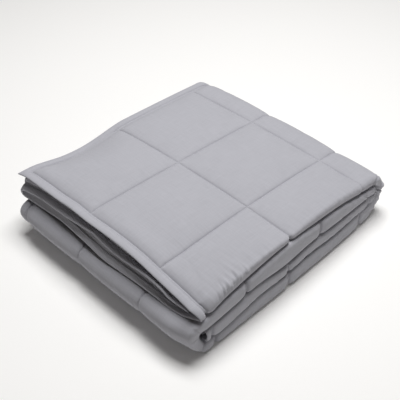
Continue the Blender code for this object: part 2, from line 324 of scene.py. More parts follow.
last_line = CELLS_ALONG * CELL_LONG
cloth_along = marks_between(-HEM, last_line + HEM, [line * CELL_LONG for line in range(CELLS_ALONG + 1)],
                            [(-HEM, 1), (last_line + HEM, -1)],
                            [(cloth_of(row["start"]), cloth_of(row["end"]), row["spacing"])
                             for row in CREASED])
place = np.interp(np.interp(cloth_along, cloth_marks, path_marks), trace_length, trace_place)
LAST_EVEN_COLUMN = 2.2 * CELL_WIDE     # beyond this, the outer layer is stretched to meet the near fold
even_columns = marks_between(-HEM, LAST_EVEN_COLUMN, [0, CELL_WIDE, 2 * CELL_WIDE], [(-HEM, 1)])
TO_FOLD_COLUMNS, NEAR_COLUMNS, INNER_COLUMNS = 16, 16, 26     # rest of the outer layer, fold, inner layer
FAR_COLUMNS, TUCK_COLUMNS = 8, 22                             # far fold, tucked layer
print(len(cloth_along), "stations,", len(even_columns), "even columns")

# %% [markdown]
# ## The section
#
# Across its width the blanket is an S lying on its side: the outer layer, the near fold, the inner
# layer, the far fold, and the tucked layer between the other two. For every station we place the
# middle of each layer, and then move half a layer's thickness to either side along its normal. That
# keeps a layer equally thick where it bends over an edge.

# %% Section values at every station
FAR_REACH, TUCK_CLEARANCE = 0.008, 0.002
FOLD_PINCH, FOLD_PINCH_REACH = 0.0024, 0.009
FADING_LINE, FADED_PINCH = 2, 0.2     # the stitched line that hardly nips the near fold
HEM_THICKNESS, RIM_THICKNESS, RIM_ROUNDING = 0.0050, 0.0006, 0.0026
HEM_BULGE = 0.42          # how much thinner the hem is at its stitching

nearest_line = np.clip(np.round(cloth_along / CELL_LONG), 0, CELLS_ALONG) * CELL_LONG
line_distance = np.abs(cloth_along - nearest_line)
far, tuck, crown, narrow = (along_path(place, key) for key in ("far", "tuck", "crown", "narrow"))
near, near_late, near_reach, near_square = (
    smooth_table([(row["at"], row[key]) for row in NEAR_EDGE], place)
    for key in ("y", "late", "reach", "square"))
pinched = np.clip(1 - line_distance / FOLD_PINCH_REACH, 0, 1) ** 2
by_fading_line = np.abs(cloth_along - FADING_LINE * CELL_LONG) < CELL_LONG / 2
near = near + FOLD_PINCH * np.where(by_fading_line, FADED_PINCH, 1) * pinched
stitched = far - HEM
straight = near + near_reach
rim_distance = np.minimum(cloth_along + HEM, last_line + HEM - cloth_along)


def hem_profile(distance, thickness):
    """Thickness of a layer at a distance from its rim: rounded rim, rolled hem, then the filling."""
    roll = 1 - HEM_BULGE + HEM_BULGE * np.sin(np.pi * np.clip(distance / HEM, 0, 1))
    flat = np.minimum(HEM_THICKNESS, thickness) * roll
    full = flat + (thickness - flat) * ease((distance - HEM) / HEM)
    rounding = np.sqrt(np.clip(1 - (1 - np.clip(distance / RIM_ROUNDING, 0, 1)) ** 2, 0, 1))
    return RIM_THICKNESS + (full - RIM_THICKNESS) * rounding


def sides_at(y):
    """Both sides of the strip at every station, and the height between them."""
    inner, outer = strip_sides(place[:, None], y)
    return inner, outer, np.hypot(*(outer - inner))


def layer_at(y, edge_distance):
    """A layer's full and trimmed thickness, and the level's height, at some y."""
    level_height = sides_at(y)[2]
    full = np.minimum(LAYER, LARGEST_SHARE * level_height)
    closest = np.minimum(edge_distance, rim_distance[:, None])
    return full, hem_profile(closest, full), level_height


def in_space(y, rise):
    """Points that lie at y, and at some rise from the strip's inner side."""
    inner, outer, level_height = sides_at(y)
    share = rise / level_height
    return np.stack((inner[0] + share * (outer[0] - inner[0]), y,
                     inner[1] + share * (outer[1] - inner[1])), axis=-1)


def grid_normals(points):
    """Unit normals of a grid of points."""
    normal = np.cross(np.gradient(points, axis=0), np.gradient(points, axis=1))
    return normal / np.maximum(np.linalg.norm(normal, axis=-1, keepdims=True), 1e-12)


# %% Outer layer
even_y = stitched[:, None] - even_columns[None] * np.where(even_columns[None] > 0, narrow[:, None], 1)
more = np.linspace(0, 1, TO_FOLD_COLUMNS + 1)[1:]
more_y = even_y[:, -1:] + (straight[:, None] - even_y[:, -1:]) * more
outer_y = np.concatenate((even_y, more_y), axis=1)
across_cloth = np.concatenate((np.broadcast_to(even_columns, even_y.shape),
                               even_columns[-1] + (even_y[:, -1:] - more_y) / narrow[:, None]), axis=1)
full, thick, level_height = layer_at(outer_y, far[:, None] - outer_y)


CELL_FULLNESS = 2.6       # 2 is a round crown, more is flatter in the middle


def loft(distance, cell):
    """Rise of a filled cell: 0 on its stitching, 1 in its middle."""
    share = distance / cell
    filled = (share > 0) & (share < CELLS_ALONG)
    return np.where(filled, 1 - np.abs(2 * (share % 1) - 1) ** CELL_FULLNESS, 0)


HEM_WAVES = (  # y along the open end, and how far the hem on top rises there
    (-0.390, -0.0010), (-0.362, 0.0014), (-0.332, 0.0018), (-0.300, 0.0028), (-0.270, 0.0046),
    (-0.240, 0.0046), (-0.218, 0.0036), (-0.194, 0.0018), (-0.157, -0.0006), (-0.120, 0.0012),
    (-0.088, -0.0002), (-0.060, 0.0010), (-0.035, 0.0024), (-0.010, 0.0036), (0.013, 0.0006))
HEM_WAVE_REACH = 0.045
cell_loft = loft(cloth_along, CELL_LONG)[:, None] * loft(across_cloth, CELL_WIDE)
outer_rise = level_height - CROWN * crown[:, None] * (1 - cell_loft) - full / 2
by_hem = (1 - ease(cloth_along / HEM_WAVE_REACH)) * (place < 1)
outer_rise = outer_rise + smooth_table(HEM_WAVES, outer_y) * by_hem[:, None]
outer_middle = in_space(outer_y, outer_rise)
outer_normal = grid_normals(outer_middle)
outer_sign = np.sign(outer_normal[len(place) // 20, outer_y.shape[1] // 2, 2])     # the top faces up
outer_normal = outer_normal * outer_sign
outer_face = outer_middle + outer_normal * thick[..., None] / 2
outer_back = outer_middle - outer_normal * thick[..., None] / 2
print("outer layer", outer_y.shape)

# %% [markdown]
# ## The open end
#
# At the left end of the top level the three layers gape. Below the rolled hem of the outer layer, the
# hems of the other two droop over the edge, unevenly. Two tables give the lower edge of each hem, and
# each layer follows an S from there up to the layer above it.

# %% Tucked and inner layers, with their drooping hems
TUCKED_RIM = table(  # y along the open end, and x and height of the tucked layer's rim there
    "y x z",
    (-0.386, -0.0165, 0.0800), (-0.360, -0.0170, 0.0814), (-0.331, -0.0180, 0.0842),
    (-0.318, -0.0180, 0.0898), (-0.300, -0.0175, 0.0919), (-0.287, -0.0180, 0.0934),
    (-0.265, -0.0170, 0.0907), (-0.237, -0.0170, 0.0882), (-0.220, -0.0170, 0.0879),
    (-0.200, -0.0170, 0.0905), (-0.179, -0.0165, 0.0965), (-0.157, -0.0170, 0.0943),
    (-0.112, -0.0180, 0.0900), (-0.073, -0.0170, 0.0870), (-0.038, -0.0165, 0.0840),
    (-0.006, -0.0180, 0.0785), ( 0.010, -0.0205, 0.0765),
)
INNER_RIM = table(  # the same for the inner layer
    "y x z",
    (-0.391, -0.0180, 0.0685), (-0.372, -0.0195, 0.0675), (-0.330, -0.0190, 0.0660),
    (-0.300, -0.0195, 0.0675), (-0.269, -0.0200, 0.0672), (-0.234, -0.0214, 0.0663),
    (-0.203, -0.0232, 0.0672), (-0.167, -0.0222, 0.0718), (-0.122, -0.0184, 0.0705),
    (-0.091, -0.0165, 0.0705), (-0.058, -0.0165, 0.0668), (-0.020, -0.0170, 0.0640),
    ( 0.010, -0.0190, 0.0645),
)
TUCKED_DROOP = dict(length=0.026, reach=0.014)
INNER_DROOP = dict(length=0.031, reach=0.016)
RIM_LIFT = 0.0020         # from a rim's lower edge to its middle
LAYER_AIR = 0.0012
INNER_DROP = 0.003        # more air above the inner layer, where the mouth gapes
MOUTH_FADE, SHIFT_FADE = 0.110, 0.300     # cloth lengths over which the droop's height and shift fade
MOUTH_CLOSED, MOUTH_OPENING = -0.380, 0.045     # y where the mouth is shut, and how soon it is open
BUNCHING = 1.6            # how much closer the columns are at a layer's ends near a fold or a rim
edge = (cloth_along + HEM)[:, None]


def drooped(middle, y, rim_table, roof, droop):
    """A layer's middle, led from its rim in an S up to the roof, and then back to its own place."""
    rim_x, rim_height = (smooth_table([(row["y"], row[key]) for row in rim_table], y) for key in ("x", "z"))
    rim_height = rim_height + RIM_LIFT
    share = edge / droop["length"]
    roof = np.maximum(roof, rim_height)
    z = rim_height + (roof - rim_height) * ease(share)
    end = rim_x + droop["reach"]
    beyond = np.argmax(cloth_along > SHIFT_FADE - HEM)
    spread = (middle[beyond, :, 0] - end) / (SHIFT_FADE - droop["length"])
    x = rim_x + droop["reach"] * np.clip(share, 0, 1) + np.clip(edge - droop["length"], 0, None) * spread
    opened = ease((y - MOUTH_CLOSED) / MOUTH_OPENING)
    lifted = opened * (1 - ease((edge - droop["length"]) / (MOUTH_FADE - droop["length"])))
    shifted = opened * (edge < SHIFT_FADE)
    result = middle.copy()
    result[..., 0] += shifted * (x - middle[..., 0])
    result[..., 2] += lifted * (z - middle[..., 2])
    return result


def roof_over(y, thick, above):
    """Height just below the layer above, at the first level."""
    x = np.clip(cloth_along, -HEM, EAST_BASE)[:, None] + 0 * y
    return height("top", x, y) - CROWN - above - LAYER_AIR - thick / 2


turned = tuck - FAR_REACH
inner_share = np.linspace(0, 1, INNER_COLUMNS) ** BUNCHING
inner_y = straight[:, None] + (turned - straight)[:, None] * inner_share
NO_EDGE = np.full_like(inner_y, 1.0)
inner_full, inner_thick = layer_at(inner_y, NO_EDGE)[:2]
tip = straight + TUCK_CLEARANCE
tuck_share = 1 - np.linspace(1, 0, TUCK_COLUMNS) ** BUNCHING
tuck_y = turned[:, None] + (tip - turned)[:, None] * tuck_share
tuck_full, tuck_thick, tuck_height = layer_at(tuck_y, tuck_y - tip[:, None])
tuck_roof = roof_over(tuck_y, tuck_thick, tuck_full)
tuck_middle = drooped(in_space(tuck_y, tuck_height / 2), tuck_y, TUCKED_RIM, tuck_roof, TUCKED_DROOP)
inner_roof = roof_over(inner_y, inner_thick, 2 * inner_full + LAYER_AIR) - INNER_DROP
inner_middle = drooped(in_space(inner_y, inner_thick / 2), inner_y, INNER_RIM, inner_roof, INNER_DROOP)

inner_normal = grid_normals(inner_middle) * outer_sign
tuck_normal = grid_normals(tuck_middle) * outer_sign
half_inner, half_tuck = inner_thick[..., None] / 2, tuck_thick[..., None] / 2
inner_face, inner_back = inner_middle + inner_normal * half_inner, inner_middle - inner_normal * half_inner
tuck_face, tuck_back = tuck_middle + tuck_normal * half_tuck, tuck_middle - tuck_normal * half_tuck
print("inner layer", inner_y.shape, "tucked layer", tuck_y.shape)


# %% Near and far folds
def fold_round(start, end, steps, reach, square, late):
    """Half loops from one row of points to another, bulging along y."""
    turn = np.arange(1, steps) / steps
    square, late = (np.broadcast_to(value, start.shape[:1])[:, None] for value in (square, late))
    side = np.sign(np.cos(np.pi * turn)) * np.abs(np.cos(np.pi * turn)) ** square
    bulge = np.sin(np.pi * turn ** late) ** square
    loops = ((start + end)[:, None] + (start - end)[:, None] * side[..., None]) / 2
    loops[..., 1] += reach[:, None] * bulge
    return loops


LEAST_BULGE = 0.001       # of the cloth on the inside of the near fold
near_face = fold_round(outer_face[:, -1], inner_face[:, 0], NEAR_COLUMNS, -near_reach, near_square, near_late)
near_back = fold_round(outer_back[:, -1], inner_back[:, 0], NEAR_COLUMNS,
                       np.minimum(thick[:, -1] - near_reach, -LEAST_BULGE), 1.0, near_late)
far_face, far_back = (
    fold_round(start[:, -1], end[:, 0], FAR_COLUMNS, np.full_like(straight, bulge), 1.0, 1.0)
    for start, end, bulge in ((inner_face, tuck_face, FAR_REACH), (inner_back, tuck_back, TUCK_CLEARANCE)))
face = np.concatenate((outer_face, near_face, inner_face, far_face, tuck_face), axis=1)
back = np.concatenate((outer_back, near_back, inner_back, far_back, tuck_back), axis=1)
part_ends = np.cumsum([part.shape[1] for part in (outer_face, near_face, inner_face, far_face, tuck_face)])
outer_count = part_ends[0]
steps = np.linalg.norm(np.diff(face, axis=1), axis=-1)
cloth_across = np.concatenate(
    (across_cloth, across_cloth[:, -1:] + np.cumsum(steps[:, outer_count - 1:], axis=1)), axis=1)
past_fold = cloth_across - cloth_across[:, outer_count + NEAR_COLUMNS // 2 - 1, None]
print("section", face.shape, "parts end at", part_ends)

# %% [markdown]
# ## Quilting
#
# Stitching draws both cloths together, so along each stitched line the cloth dips in a narrow groove
# with small puckers that run away from it. We move every point along the cloth's own normal.

# %% Grooves and puckers
GROOVE, GROOVE_REACH = 0.0013, 0.0050
SHARP_GROOVE, SHARP_REACH = 0.0022, 0.0012
HEM_LINE_DEEPER = 1.5     # the hem's stitching lies deeper, between its roll and the filling
PUCKER, PUCKER_REACH = 0.00045, 0.007
PUCKER_LENGTHS = (0.0066, 0.0083, 0.0127, 0.021)
PUCKER_CHOICES = 32       # more than the number of stitched lines
RIM_CALM, SEAM_CALM = 0.006, 0.008     # no relief at a rim, and no fold ripples at a seam
FADED_GROOVE, FADE_START, FADE_LENGTH = 0.7, -0.045, 0.035     # how the fading line ends before the fold
BORDER_FADE = 0.0016      # how far a groove runs past the hem's stitching
random = np.random.default_rng(7)


def ripple(at, line):
    """A repeatable uneven wave along each stitched line."""
    value = np.zeros_like(at)
    for length in PUCKER_LENGTHS:
        phases = random.uniform(0, 2 * np.pi, PUCKER_CHOICES)
        sizes = random.uniform(0.3, 1.0, PUCKER_CHOICES)
        value += sizes[line] * np.sin(2 * np.pi * at / length + phases[line])
    return value / len(PUCKER_LENGTHS)


along = np.broadcast_to(cloth_along[:, None], cloth_across.shape)
line_along = np.clip(np.round(along / CELL_LONG), 0, CELLS_ALONG).astype(int)
line_across = np.clip(np.round(cloth_across / CELL_WIDE), 0, CELLS_ACROSS).astype(int)
to_along = np.abs(along - line_along * CELL_LONG)
to_across = np.abs(cloth_across - line_across * CELL_WIDE)


def groove(distance, line):
    """Depth of a soft groove with a sharp one in it."""
    soft = GROOVE * np.exp(-distance / GROOVE_REACH)
    sharp = SHARP_GROOVE * np.exp(-distance / SHARP_REACH)
    return np.where(line == 0, HEM_LINE_DEEPER, 1) * (soft + sharp)


def dip(distance, ripples):
    """Ripples that die away from their stitched line."""
    return PUCKER * ripples * np.exp(-distance / PUCKER_REACH)


def inside(at, last):
    """1 within the hem's stitching, 0 outside it."""
    return ease(np.minimum(at, last - at) / BORDER_FADE + 1)


faded = 1 - FADED_GROOVE * ease((past_fold - FADE_START) / FADE_LENGTH)
shown_along = inside(cloth_across, CELLS_ACROSS * CELL_WIDE) * np.where(line_along == FADING_LINE, faded, 1)
shown_across = inside(along, last_line)
relief = -np.maximum(groove(to_along, line_along) * shown_along,
                     groove(to_across, line_across) * shown_across)
relief += dip(to_along, ripple(cloth_across, line_along)) * shown_along
relief += dip(to_across, ripple(along, line_across + CELLS_ALONG + 2)) * shown_across
loose = np.minimum(rim_distance[:, None], cloth_across + HEM)
relief *= ease(loose / RIM_CALM)
print("grooves", round(relief.min() * 1000, 2), "mm")

# %% [markdown]
# ## Creases at the near folds
#
# Where the cloth bends double it is too wide for the inside of the bend, so it buckles. Fine ripples
# run over the fold's edge on to the top, and a table adds the creases that can be told apart. Each is
# a soft trough or ridge, placed one by one, because a simulation would crease it somewhere else.

# %% Ripples
FOLD_RIPPLES = (  # cloth length along the blanket, and size of the ripples there
    (0.0, 0.0), (0.020, 0.0004), (0.055, 0.0009), (0.100, 0.0006), (0.170, 0.0003), (0.200, 0.0004),
    (0.270, 0.0005), (0.330, 0.0007), (0.360, 0.0003), (0.400, 0.0004), (0.500, 0.0002),
    (0.700, 0.0003), (0.900, 0.0002), (1.300, 0.0003), (1.800, 0.0003))
RIPPLE_LENGTHS = (0.0085, 0.0120, 0.0175, 0.027)
RIPPLE_REACH = 0.020
RIPPLE_START, RIPPLE_END = -0.006, 0.006     # strongest just above the fold's edge, gone soon below it
WANDER, WANDER_LENGTH = 1.5, 2.7             # how unevenly the ripples are spaced
wave = np.zeros_like(cloth_across)
for length in RIPPLE_LENGTHS:
    phase, lean = random.uniform(0, 2 * np.pi), random.uniform(-0.45, 0.1)
    wave += np.sin(2 * np.pi * (along + lean * past_fold) / length + phase
                   + WANDER * np.sin(along / (WANDER_LENGTH * length) + phase))
wave /= len(RIPPLE_LENGTHS) ** 0.5
reach = np.where(past_fold < RIPPLE_START, np.exp((past_fold - RIPPLE_START) / RIPPLE_REACH),
                 1 - ease((past_fold - RIPPLE_START) / (RIPPLE_END - RIPPLE_START)))
relief += smooth_table(FOLD_RIPPLES, cloth_along)[:, None] * wave * reach * ease(to_along / SEAM_CALM)
print(len(RIPPLE_LENGTHS), "sizes of ripple")


# %% Single creases
def cloth_at(stretch, at):
    """Cloth length at x on a level (an even stretch), or at a share of a fold (an odd one)."""
    return cloth_of(stretch + at if stretch % 2 else place_of(dict(level=stretch // 2, x=at)))


# Each runs from one point to another: stretch, x or share on it, and mm past the fold's edge. Its width
# and depth are in mm, and a depth below 0 is a ridge.
CREASES = table(
    "on      x  past  to_on   to_x  to_past  width  depth",
    # puckers that run from the near fold on to the top
    ( 0, 0.026,    1,     0, 0.030,     -18,   1.6,   2.2),
    ( 0, 0.035,    3,     0, 0.044,     -28,   1.5,   3.6),
    ( 0, 0.041,    2,     0, 0.047,     -18,   1.5,   2.6),
    ( 0, 0.049,    2,     0, 0.056,     -24,   1.6,   3.2),
    ( 0, 0.060,    2,     0, 0.069,     -28,   1.6,   3.4),
    ( 0, 0.068,    1,     0, 0.074,     -20,   1.5,   2.2),
    ( 0, 0.079,    1,     0, 0.087,     -24,   1.6,   2.4),
    ( 0, 0.104,    0,     0, 0.110,     -20,   2.2,   1.4),
    ( 0, 0.128,    0,     0, 0.133,     -24,   2.4,   1.4),
    ( 0, 0.300,    0,     0, 0.307,     -18,   2.2,   1.2),
    ( 0, 0.322,    0,     0, 0.328,     -20,   2.2,   1.6),
    ( 0, 0.340,    0,     0, 0.345,     -16,   2.2,   1.3),
    # the east end buckles like a bent hose: a pleat, a knuckle and a deep crease below it
    ( 1,  0.32,  -22,     0, 0.378,      12,   2.2,   3.2),
    ( 1,  0.46,  -26,     1,  0.42,       8,   6.0,  -5.2),
    ( 1,  0.54,  -26,     1,  0.50,      16,   1.8,   6.5),
    ( 1,  0.70,  -18,     1,  0.66,       8,   4.0,  -1.8),
    ( 1,  0.80,  -12,     1,  0.76,       6,   2.2,   3.0),
    # the inner east end is crumpled
    ( 4, 0.362,   -9,     4, 0.380,       8,   1.8,   3.0),
    ( 5,  0.16,  -10,     5,  0.10,       8,   3.0,  -2.4),
    ( 5,  0.35,   -9,     5,  0.42,       8,   1.8,   3.6),
    ( 5,  0.50,   -8,     5,  0.54,       8,   3.0,  -2.4),
    ( 5,  0.68,   -8,     5,  0.60,       8,   1.8,   3.6),
    ( 6, 0.374,    9,     6, 0.362,      -8,   1.8,   2.8),
    # the big west fold is pinched at its near end
    ( 3,  0.82,  -15,     3,  0.84,       7,   2.2,   2.0),
    ( 3,  0.60,   -8,     3,  0.62,       8,   2.0,   1.4),
    ( 3,  0.16,  -12,     3,  0.22,       9,   2.2,   2.4),
    ( 3,  0.95,  -42,     4, 0.006,     -10,   2.4,   0.9),
    ( 3,  0.90,  -34,     3,  0.93,     -12,   2.0,   0.7),
    # single creases on the near faces of the lower levels
    ( 4, 0.246,   -8,     4, 0.251,       7,   2.0,   1.5),
    ( 6, 0.322,    9,     6, 0.338,      -7,   2.2,   2.2),
    ( 6, 0.080,    9,     6, 0.087,      -3,   2.0,   1.3),
    ( 6, 0.062,    9,     6, 0.068,      -3,   1.8,   1.0),
)


MARGIN = 0.02             # cloth length beyond a crease that it still reaches
END_FADE, TOP_FADE = 0.25, 0.6     # share of a crease over which it fades; a pucker on top fades slowly
SHOULDER, SHOULDER_WIDTH = 0.4, 5  # a trough pushes up a wider, lower ridge on either side


def crease_relief(row):
    """Depth of one soft trough, fading at both ends."""
    start = np.array((cloth_at(row["on"], row["x"]), row["past"] / 1000))
    end = np.array((cloth_at(row["to_on"], row["to_x"]), row["to_past"] / 1000))
    run = end - start
    first, last = sorted((start[0], end[0]))
    rows = (cloth_along > first - MARGIN) & (cloth_along < last + MARGIN)
    point = np.stack((along[rows], past_fold[rows]), axis=-1) - start
    share = np.clip(point @ run / (run @ run), 0, 1)
    away = np.linalg.norm(point - share[..., None] * run, axis=-1) / (row["width"] / 1000)
    fade = ease(share / END_FADE) * ease((1 - share) / (TOP_FADE if row["on"] == 0 else END_FADE))
    trough = np.exp(-away ** 2) - SHOULDER * np.exp(-away ** 2 / SHOULDER_WIDTH)
    value = np.zeros_like(cloth_across)
    value[rows] = -row["depth"] / 1000 * fade * trough
    return value


for row in CREASES:
    relief += crease_relief(row)
print("relief", np.round([relief.min() * 1000, relief.max() * 1000], 2), "mm")

# %% [markdown]
# ## The hem round the near fold
#
# A hem is thick and stiff, so where it goes round the fold it is drawn in and doesn't reach as far out
# as the cloth beside it. A small table gives how far, which is simpler than bending the whole path.

# %% Draw the hem in
RIM_PULL = (  # place past the fold's edge, and how far the hem is drawn in there
    (-0.016, 0.0), (0.0, 0.005), (0.009, 0.0075), (0.014, 0.006), (0.020, 0.004), (0.030, 0.001),
    (0.045, 0.0))
RIM_PULL_LENGTH = 0.050   # how far along the cloth that fades
pulled = smooth_table(RIM_PULL, past_fold) * (1 - ease((along + HEM) / RIM_PULL_LENGTH))
face[..., 0] += pulled
back[..., 0] += pulled
normal = grid_normals(face) * outer_sign
print("hem drawn in by", round(pulled.max() * 1000, 1), "mm")

# %% [markdown]
# ## Blowing up the top
#
# Quilted cloth puckers because each cell has a little more cloth than its stitching. The cloth
# simulation shows where those puckers run: the top's outer skin is sewn down along its lines, given
# some slack, and blown up for a moment. The photograph already says how high each cell is, so only
# the puckers are taken over, and not the dome.

# %% Cloth simulation of the top
SIM_FRAMES, SIM_PRESSURE, SIM_SLACK, SIM_BENDING = 20, 4.0, 0.006, 0.1
SIM_QUALITY, SIM_MASS = 6, 0.2
SIM_SHARE, SIM_CAP = 0.6, 0.0012     # how much of the puckers is used, and the largest
DOME_REACH, BORDER_REACH = 0.012, 0.008     # wider rises are dome; near the skin's border nothing moves
ON_LINE = 1e-6            # a point this close to a stitched line is sewn down
SIM_END, SIM_FOLD_COLUMNS = 1.9, 5   # the skin ends late on the east fold, and just on the near fold
top_rows = slice(int(np.argmin(np.abs(cloth_along))), int(np.argmax(place > SIM_END)))
top_columns = slice(int(np.argmin(np.abs(even_columns))), outer_count + SIM_FOLD_COLUMNS)


def blown_up(points, sewn):
    """Points of a skin after a short cloth simulation, with the sewn ones held."""
    count = points.shape[0] * points.shape[1]
    index = np.arange(count).reshape(points.shape[:2])
    quads = np.stack((index[:-1, :-1], index[:-1, 1:], index[1:, 1:], index[1:, :-1]), axis=-1)
    skin_mesh = bpy.data.meshes.new("skin")
    skin_mesh.from_pydata(points.reshape(-1, 3).tolist(), [], quads.reshape(-1, 4).tolist())
    if skin_mesh.polygons[len(skin_mesh.polygons) // 3].normal.z < 0:
        skin_mesh.flip_normals()
    skin = bpy.data.objects.new("skin", skin_mesh)
    bpy.context.scene.collection.objects.link(skin)
    skin.vertex_groups.new(name="sewn").add(index[sewn].tolist(), 1.0, "REPLACE")
    cloth = skin.modifiers.new("cloth", "CLOTH")
    settings = cloth.settings
    settings.quality, settings.mass = SIM_QUALITY, SIM_MASS
    settings.bending_stiffness, settings.shrink_min = SIM_BENDING, -SIM_SLACK
    settings.use_pressure, settings.uniform_pressure_force = True, SIM_PRESSURE
    settings.effector_weights.gravity = 0
    settings.vertex_group_mass = "sewn"
    cloth.collision_settings.use_collision = False
    cloth.point_cache.frame_start, cloth.point_cache.frame_end = 1, SIM_FRAMES
    for frame_number in range(1, SIM_FRAMES + 1):
        bpy.context.scene.frame_set(frame_number)
    moved = np.zeros(count * 3, dtype=np.float32)
    skin.evaluated_get(bpy.context.evaluated_depsgraph_get()).data.vertices.foreach_get("co", moved)
    skin.modifiers.clear()
    bpy.data.objects.remove(skin)
    bpy.data.meshes.remove(skin_mesh)
    bpy.context.scene.frame_set(1)
    return moved.reshape(points.shape).astype(float)


def smoothed(values, places, reach):
    """Each row averaged with its neighbours within reach."""
    weights = np.exp(-((places[:, None] - places) / reach) ** 2 / 2) * np.gradient(places)
    return weights / weights.sum(axis=1, keepdims=True) @ values


skin_points, skin_normals = face[top_rows, top_columns], normal[top_rows, top_columns]
rows_there = cloth_along[top_rows]
columns_there = cloth_across[top_rows, top_columns].mean(axis=0)
held = (to_along[top_rows, top_columns] < ON_LINE) | (to_across[top_rows, top_columns] < ON_LINE)
held[[0, -1]] = held[:, [0, -1]] = True
risen = ((blown_up(skin_points, held) - skin_points) * skin_normals).sum(axis=-1)
dome = smoothed(smoothed(risen, rows_there, DOME_REACH).T, columns_there, DOME_REACH).T
puckers = SIM_SHARE * (risen - dome)
puckers = SIM_CAP * np.tanh(puckers / SIM_CAP)
border = np.minimum(np.minimum(rows_there - rows_there[0], rows_there[-1] - rows_there)[:, None],
                    np.minimum(columns_there - columns_there[0], columns_there[-1] - columns_there))
relief[top_rows, top_columns] += puckers * ease(border / BORDER_REACH)
print("puckers", np.round([puckers.min() * 1000, puckers.max() * 1000], 2), "mm")

# %% [markdown]
# ## One closed mesh
#
# The blanket is one bag of cloth, so its mesh is one closed skin: out over the face and home along the
# back. The grid of points is fine everywhere. Where a layer can't be seen, its cells are joined into
# larger faces, which keep every corner that a finer neighbour uses, so the mesh has no open seam.

# %% Move the skins
BACK_SHARE = 0.4          # the back has that much of the relief, the other way
THIN, THIN_SHARE = 0.004, 0.2     # but less of it where the layer is thin, and none below a fifth of that
face = face + normal * relief[..., None]
back_room = np.clip(np.linalg.norm(face - back, axis=-1) / THIN - THIN_SHARE, 0, 1)
back = back + normal * (-BACK_SHARE * relief * back_room)[..., None]
ring = np.concatenate((face, back[:, ::-1]), axis=1)
ring[..., 2] = np.maximum(ring[..., 2], 0)
ring_along = np.concatenate((along, along), axis=1)
ring_across = np.concatenate((cloth_across, cloth_across[:, ::-1]), axis=1)
stations, around_count = ring.shape[:2]
print("grid", ring.shape)

# %% Which cells may be joined
FINE, MEDIUM, COARSE, COARSEST = 1, 2, 4, 8     # most cells along a side of one face
RIM_CELLS, FOLD_CELLS, FAR_CELLS = 14, 8, 3     # beside a rim, a near fold and the far fold
MOUTH_FINE, MOUTH_MEDIUM = 0.012, 0.045         # cloth lengths from the hem's stitching at the open end
CROWDED_SPACING = 0.0021
allowed = np.full((stations - 1, around_count), COARSEST)
middle_place = (place[:-1] + place[1:]) / 2
east_fold, west_fold = ((middle_place > start) & (middle_place < start + 1) for start in (1, 3))
shown = (middle_place < 1) | east_fold | west_fold
allowed[:, outer_count - TO_FOLD_COLUMNS:part_ends[1] + FOLD_CELLS] = FINE
allowed[shown, :outer_count] = FINE
allowed[~shown, :outer_count - TO_FOLD_COLUMNS] = COARSE
beside_line = line_distance[:-1] > SEAM_OFFSETS[-1]
crowded = (np.diff(cloth_along) < CROWDED_SPACING) & beside_line & shown
plain_columns = to_across[0, :outer_count - 2 * TO_FOLD_COLUMNS] > SEAM_OFFSETS[-1]
allowed[np.ix_(crowded, np.flatnonzero(plain_columns[:-1] & plain_columns[1:]))] = MEDIUM
allowed[:, :RIM_CELLS] = np.minimum(allowed[:, :RIM_CELLS], MEDIUM)
allowed[:, part_ends[2] - FAR_CELLS:part_ends[3] + FAR_CELLS] = MEDIUM
allowed[:, around_count - RIM_CELLS:] = MEDIUM
allowed[cloth_along[:-1] < MOUTH_FINE] = FINE
by_mouth = cloth_along[:-1] < MOUTH_MEDIUM
allowed[by_mouth] = np.minimum(allowed[by_mouth], MEDIUM)
allowed[-RIM_CELLS:] = np.minimum(allowed[-RIM_CELLS:], MEDIUM)
allowed[0] = allowed[-1] = FINE

blocks = []


def split(top, bottom, left, right):
    """Halve a block of cells until each piece is as small as all its cells need."""
    tall, wide = bottom - top, right - left
    if max(tall, wide) <= allowed[top:bottom, left:right].min():
        blocks.append((top, bottom, left, right))
        return
    if tall >= wide:
        middle = top + tall // 2
        split(top, middle, left, right)
        split(middle, bottom, left, right)
    else:
        middle = left + wide // 2
        split(top, bottom, left, middle)
        split(top, bottom, middle, right)


split(0, stations - 1, 0, around_count)
used = np.zeros((stations, around_count), dtype=bool)
for top, bottom, left, right in blocks:
    right %= around_count
    used[top, left] = used[top, right] = used[bottom, left] = used[bottom, right] = True
number = np.full(used.shape, -1)
number[used] = np.arange(used.sum())
print(len(blocks), "faces,", used.sum(), "points")

# %% Build the mesh
faces = []
for top, bottom, left, right in blocks:
    corner = right % around_count
    if bottom - top == 1 and right - left == 1:
        faces.append((number[top, left], number[top, corner], number[bottom, corner],
                      number[bottom, left]))
        continue
    outline = [number[top, column] for column in range(left, right)]
    outline += [number[row, corner] for row in range(top, bottom)]
    outline += [number[bottom, column % around_count] for column in range(right, left, -1)]
    outline += [number[row, left] for row in range(bottom, top, -1)]
    faces.append(tuple(point for point in outline if point >= 0))
for row in (0, stations - 1):
    for column in range(face.shape[1] - 1):
        faces.append((number[row, column], number[row, column + 1],
                      number[row, around_count - 2 - column], number[row, around_count - 1 - column]))

FOLD_LOW = (-0.03682, -0.395, 0.0)     # the solid's low corner while folding
origin = np.array(solid_low) - np.array(FOLD_LOW)
points = ring[used] + origin
mesh = bpy.data.meshes.new("quilted_blanket")
mesh.from_pydata(points.tolist(), [], [tuple(int(index) for index in face_) for face_ in faces])
shape = bmesh.new()
shape.from_mesh(mesh)
bmesh.ops.recalc_face_normals(shape, faces=shape.faces)
shape.to_mesh(mesh)
open_edges = sum(not edge.is_manifold for edge in shape.edges)
shape.free()
mesh.shade_smooth()
blanket = bpy.data.objects.new("quilted_blanket", mesh)
bpy.context.scene.collection.objects.link(blanket)
mesh.calc_loop_triangles()
print(len(mesh.loop_triangles), "triangles,", open_edges, "open edges")

# %% [markdown]
# ## Cloth coordinates
#
# Every point keeps its place on the flat blanket, in metres, as a UV map, so the weave runs along the
# threads wherever the cloth goes.

